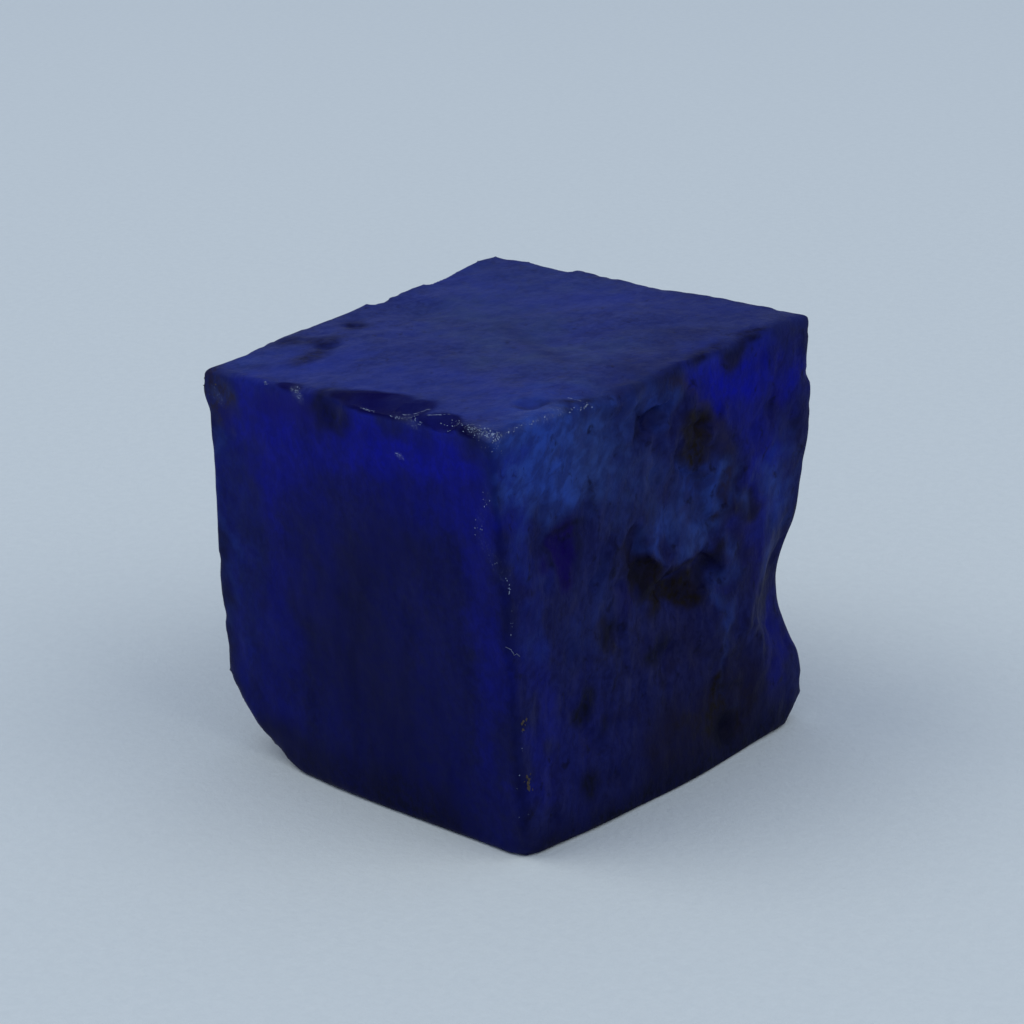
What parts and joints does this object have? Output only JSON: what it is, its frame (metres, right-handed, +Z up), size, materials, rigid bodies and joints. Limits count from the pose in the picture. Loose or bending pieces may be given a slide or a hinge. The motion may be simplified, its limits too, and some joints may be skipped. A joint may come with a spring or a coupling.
{
  "type": "rough tanzanite crystal",
  "caption": "Blocky piece of rough tanzanite, a lopsided cube with worn edges, flaked rims and a notched side, lying on its flat foot.",
  "frame": {"origin": "on the plane that the foot rests on, under the middle of the bounding box", "axes": "+Z up from the foot; -Y out of the front face, which the flaked rim runs along; +X out of the right face, which holds the hollow and the notch"},
  "size_m": [0.0254, 0.0264, 0.0256],
  "materials": {
    "tanzanite": "deep violet-blue crystal, waxy where it is whole, frosted and brown-stained on the right side"
  },
  "bodies": {
    "root": {"tanzanite_crystal": "tanzanite"}
  },
  "joints": []
}
